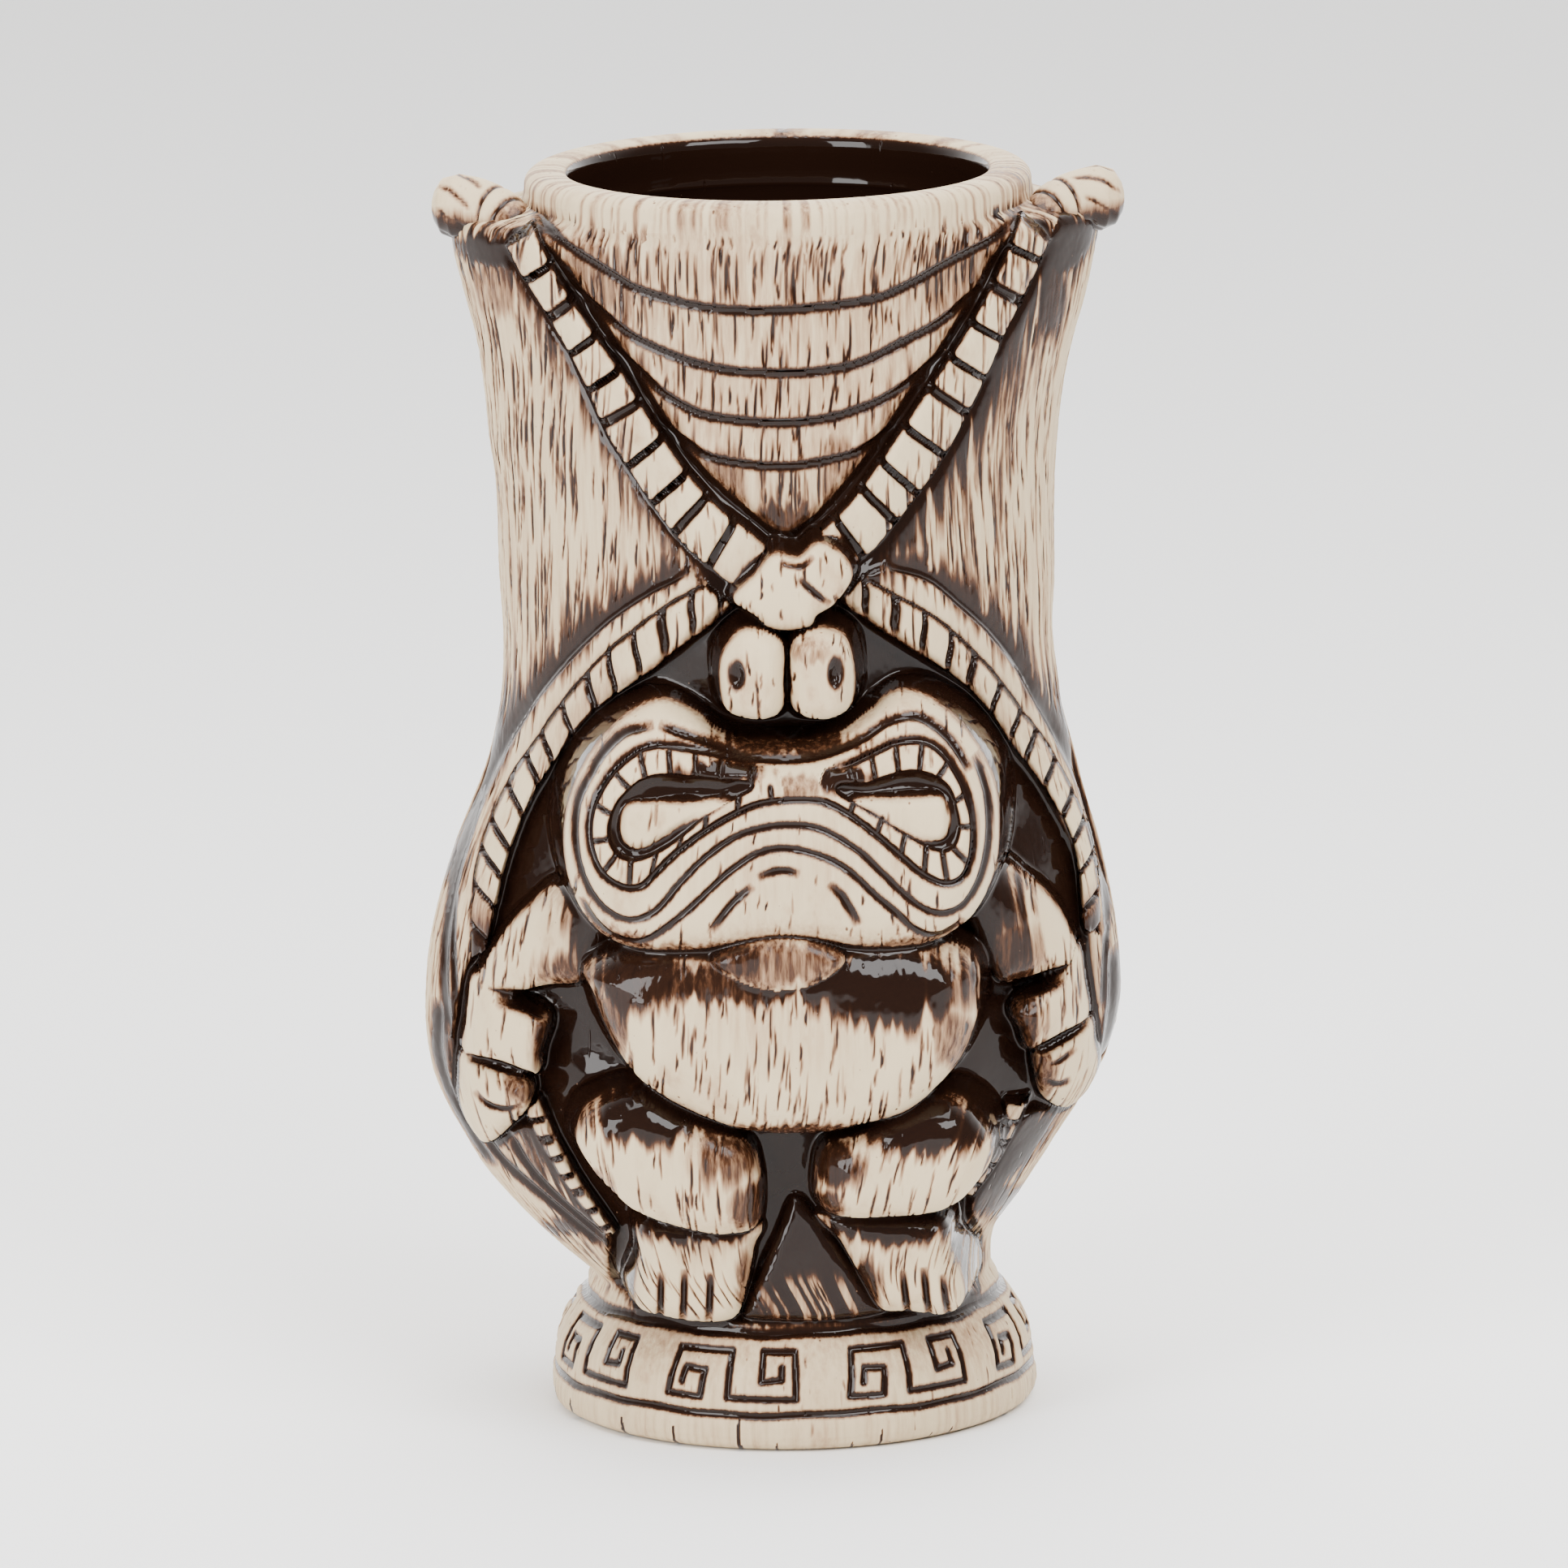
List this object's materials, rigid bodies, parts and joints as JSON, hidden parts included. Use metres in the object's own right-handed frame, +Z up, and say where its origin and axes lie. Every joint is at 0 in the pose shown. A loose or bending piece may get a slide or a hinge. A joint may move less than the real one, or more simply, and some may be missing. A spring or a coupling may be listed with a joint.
{
  "type": "tiki mug",
  "caption": "Tall slip-cast ceramic tiki cup: a squat carved figure in relief under a rope headband with two side horns, on a flared foot with a key-pattern band.",
  "frame": {"origin": "middle of the flat underside, on the cup's axis", "axes": "+Z up through the cup's mouth, -Y towards the front where the figure faces, +X to the viewer's right"},
  "size_m": [0.1008, 0.0835, 0.18],
  "materials": {
    "wiped_clay": "matte cream clay with dark brown gloss glaze left in the cuts",
    "stained_clay": "cream clay under a thin rubbed brown gloss glaze"
  },
  "bodies": {
    "root": {"cup": "wiped_clay", "foot_ring": "wiped_clay", "nose_left": "wiped_clay", "nose_right": "wiped_clay", "forehead_knot": "wiped_clay", "eye_left": "wiped_clay", "eye_right": "wiped_clay", "eye_ring_left": "wiped_clay", "eye_ring_right": "wiped_clay", "face": "wiped_clay", "chin_roll": "wiped_clay", "belly": "wiped_clay", "upper_arm_left": "wiped_clay", "upper_arm_right": "wiped_clay", "forearm_left": "wiped_clay", "forearm_right": "wiped_clay", "hand_left": "wiped_clay", "hand_right": "wiped_clay", "thigh_left": "wiped_clay", "thigh_right": "wiped_clay", "foot_left": "wiped_clay", "foot_right": "wiped_clay", "headband_left": "stained_clay", "headband_right": "stained_clay", "brow_rope_left": "stained_clay", "brow_rope_right": "stained_clay", "side_rope_left": "stained_clay", "side_rope_right": "stained_clay", "horn_left": "stained_clay", "horn_right": "stained_clay"}
  },
  "joints": []
}
